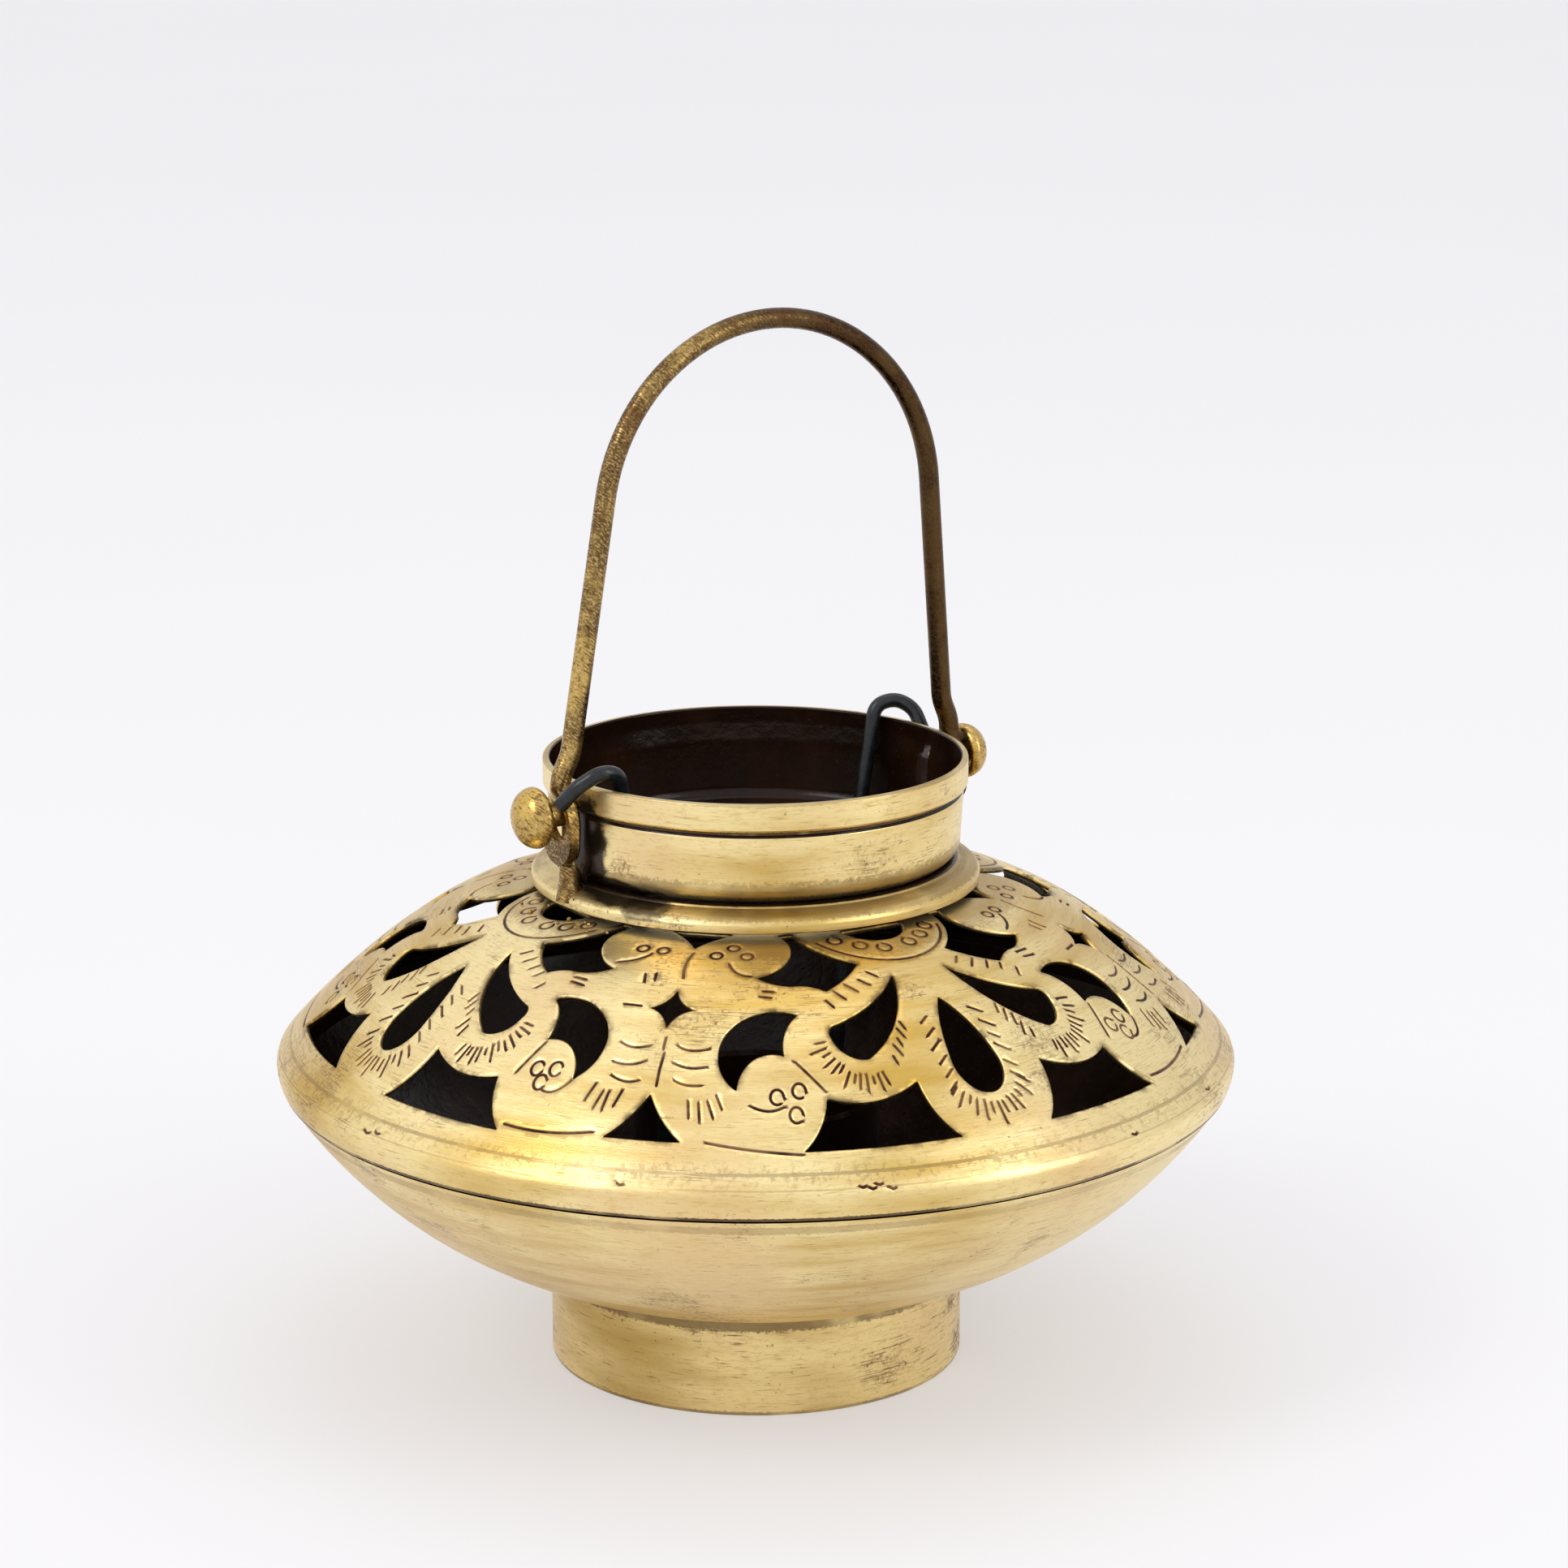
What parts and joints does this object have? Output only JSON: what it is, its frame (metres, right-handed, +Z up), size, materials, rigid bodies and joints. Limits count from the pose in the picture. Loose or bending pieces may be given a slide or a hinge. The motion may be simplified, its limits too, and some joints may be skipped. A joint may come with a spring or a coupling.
{
  "type": "hanging lantern",
  "caption": "Round spun-brass lantern with a pierced scroll-and-fan dome, swinging bail handle and a tea-light cup hung from the rim on two wires.",
  "frame": {"origin": "on the table, at the centre of the foot ring", "axes": "+Z up through the neck to the top of the bail; +X along the bail's pivot pins, towards the right pin"},
  "size_m": [0.2, 0.2, 0.221],
  "materials": {
    "brass": "worn polish with brown patina",
    "wire": "satin grey-black"
  },
  "bodies": {
    "lantern": {"foot_ring": "brass", "lower_bowl": "brass", "pierced_dome": "brass", "neck_flange": "brass", "neck_collar": "brass", "left_pivot_post": "brass", "right_pivot_post": "brass", "left_pivot_pin": "brass", "right_pivot_pin": "brass", "left_pin_knob": "brass", "right_pin_knob": "brass"},
    "bail": {"bail_handle": "brass"},
    "cup_hanger": {"candle_cup": "brass", "left_cup_wire": "wire", "right_cup_wire": "wire"}
  },
  "joints": [
    {"name": "bail_swing", "type": "hinge", "parent": "lantern", "child": "bail", "pos_m": [0, 0, 0.1225], "axis": [1, 0, 0], "range_deg": [-20, 20]},
    {"name": "cup_lift", "type": "slide", "parent": "lantern", "child": "cup_hanger", "axis": [0, 0, 1], "range_m": [0, 0.1]}
  ]
}
